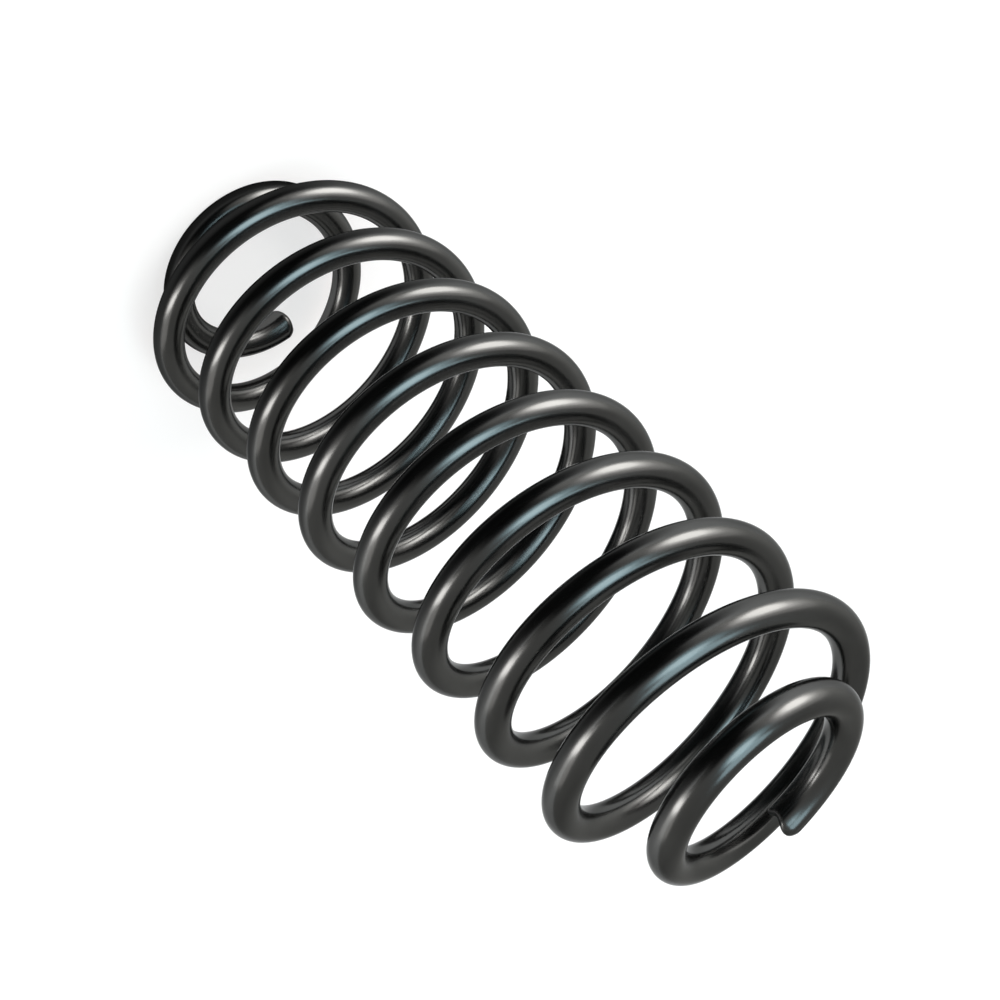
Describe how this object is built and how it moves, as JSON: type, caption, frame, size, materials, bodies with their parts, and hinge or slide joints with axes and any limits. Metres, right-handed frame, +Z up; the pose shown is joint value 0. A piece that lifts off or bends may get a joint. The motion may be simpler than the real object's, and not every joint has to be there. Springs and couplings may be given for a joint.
{
  "type": "suspension coil spring",
  "caption": "Open coil spring of thick round bar, wound left hand, with a smaller flat coil at each end that sits on a spring seat of a vehicle's suspension.",
  "frame": {"origin": "on the spring's axis, in the plane that the lower end coil rests on", "axes": "+Z up along the axis, from the lower end coil to the upper one; the lower cut end of the wire lies at +X; the axis is that of the body turns"},
  "size_m": [0.1258, 0.1258, 0.3434],
  "materials": {
    "black_coating": "semi-gloss black coating on spring steel"
  },
  "bodies": {
    "root": {"coil_spring": "black_coating"}
  },
  "joints": []
}
